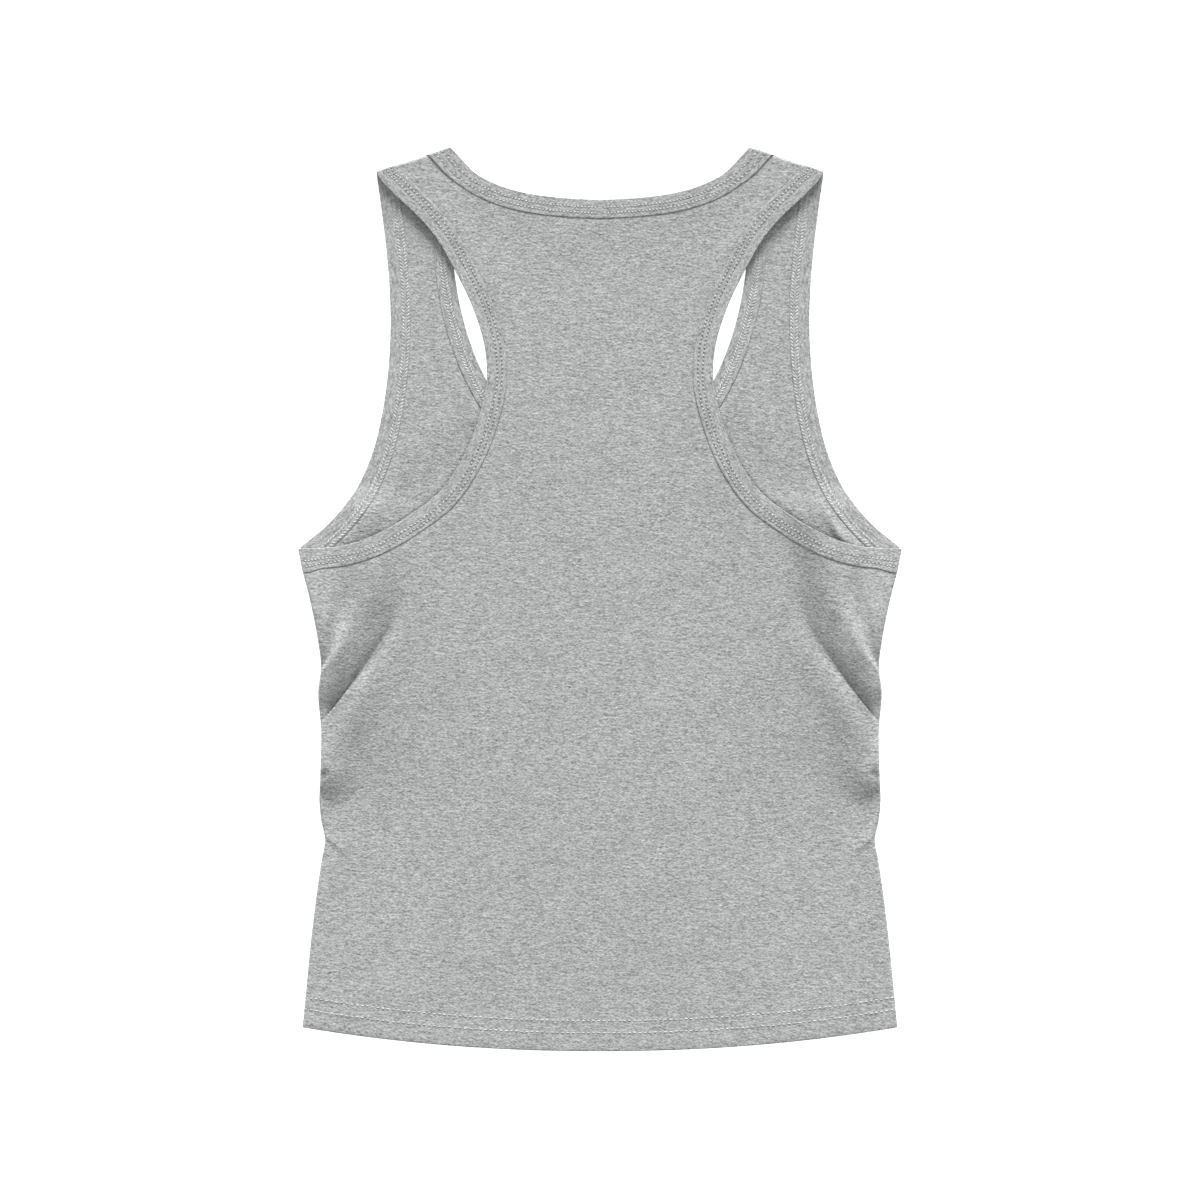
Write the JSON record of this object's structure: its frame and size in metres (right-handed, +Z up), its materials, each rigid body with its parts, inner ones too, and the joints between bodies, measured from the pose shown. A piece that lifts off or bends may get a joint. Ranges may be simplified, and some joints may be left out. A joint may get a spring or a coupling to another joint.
{
  "type": "tank top",
  "caption": "Racerback tank top in grey marl jersey, laid flat back up, with bound neck and armholes, gathered sides and a curved hem.",
  "frame": {"origin": "middle of the garment's outline, on the surface that it rests on", "axes": "+Y along the garment's length towards the neck, +X towards the wearer's right, +Z up out of the back, which lies uppermost"},
  "size_m": [0.352, 0.527, 0.0085],
  "materials": {
    "marl_jersey": "light grey marl cotton jersey, matt with a soft nap",
    "sewing_thread": "light grey polyester sewing thread with a slight sheen"
  },
  "bodies": {
    "root": {"front_panel": "marl_jersey", "back_panel": "marl_jersey", "neck_binding": "marl_jersey", "armhole_binding_left": "marl_jersey", "armhole_binding_right": "marl_jersey"}
  },
  "joints": []
}
